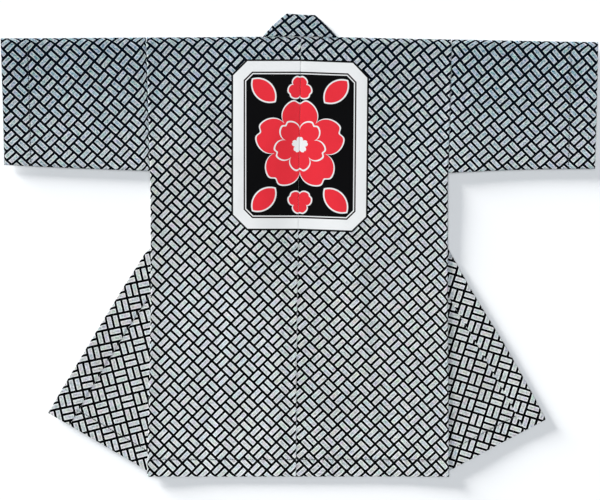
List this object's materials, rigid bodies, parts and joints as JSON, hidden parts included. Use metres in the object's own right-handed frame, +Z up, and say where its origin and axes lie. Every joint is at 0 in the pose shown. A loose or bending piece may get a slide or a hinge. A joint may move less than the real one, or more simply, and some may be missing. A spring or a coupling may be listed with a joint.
{
  "type": "happi coat",
  "caption": "Straight-cut cotton festival coat laid flat, back up, with both open fronts folded outwards beneath it; wide short sleeves and a narrow band collar.",
  "frame": {"origin": "middle of the bounding box on the plan, at the height of the surface that the coat lies on", "axes": "+X across the back towards the right-hand sleeve as seen from above, +Y towards the collar, +Z up, away from the surface"},
  "size_m": [1.227, 0.9528, 0.0054],
  "materials": {
    "printed_cotton": "plain-woven cotton, printed with a repeat of dark lines, with a white panel on the back",
    "collar_cotton": "the same printed cotton, folded double"
  },
  "bodies": {
    "root": {"body_left": "printed_cotton", "body_right": "printed_cotton", "sleeve_left": "printed_cotton", "sleeve_right": "printed_cotton", "collar": "collar_cotton"}
  },
  "joints": []
}
